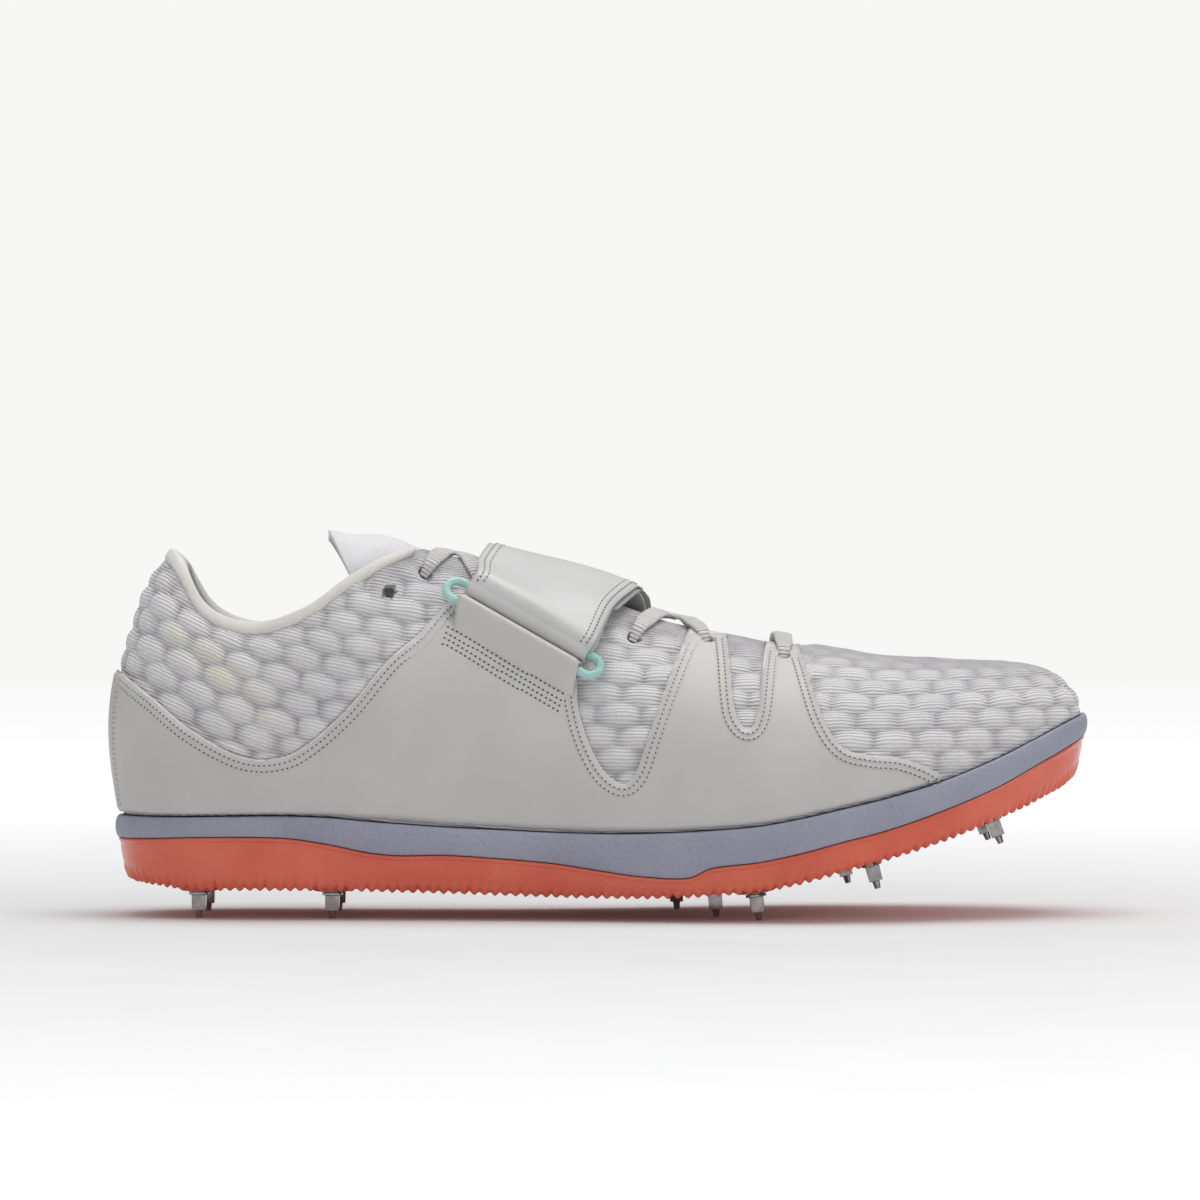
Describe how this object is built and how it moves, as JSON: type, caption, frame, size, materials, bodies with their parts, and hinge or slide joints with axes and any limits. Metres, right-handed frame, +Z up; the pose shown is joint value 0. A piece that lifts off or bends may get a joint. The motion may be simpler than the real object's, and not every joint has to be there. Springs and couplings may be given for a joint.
{
  "type": "track spike shoe",
  "caption": "Low field-event spike shoe for the right foot, with laces, a midfoot strap through a ring, a foam midsole and a moulded spike plate.",
  "frame": {"origin": "on the floor under the middle of the shoe's bounding box, with the shoe standing on its spikes", "axes": "+X from the heel to the toe, +Y to the medial side of the foot, +Z up"},
  "size_m": [0.2884, 0.096, 0.1131],
  "materials": {
    "plate": "glossy coral moulded nylon",
    "foam": "matte lavender foam with a pebbled skin",
    "lining": "pale grey brushed textile",
    "knit": "quilted ribbed white knit",
    "synthetic_leather": "smooth pale grey synthetic leather",
    "binding": "cream woven tape",
    "ring": "mint moulded plastic",
    "lace": "flat ribbed off-white lace",
    "steel": "bright plated steel"
  },
  "bodies": {
    "root": {"outsole": "plate", "midsole": "foam", "insole": "lining", "upper": "knit", "tongue": "knit", "lateral_overlay": "synthetic_leather", "medial_overlay": "synthetic_leather", "collar_binding": "binding", "strap": "synthetic_leather", "ring_tab": "synthetic_leather", "strap_ring": "ring", "lace_front_bar": "lace", "lace_middle_bar": "lace", "lace_crossing_front": "lace", "lace_crossing_rear": "lace", "spike_heel_lateral_rear": "steel", "spike_heel_medial_rear": "steel", "spike_heel_lateral_front": "steel", "spike_heel_medial_front": "steel", "spike_ball_medial_rear": "steel", "spike_ball_middle": "steel", "spike_ball_lateral_rear": "steel", "spike_ball_medial": "steel", "spike_ball_lateral": "steel", "spike_toe_medial": "steel", "spike_toe_lateral": "steel"}
  },
  "joints": []
}
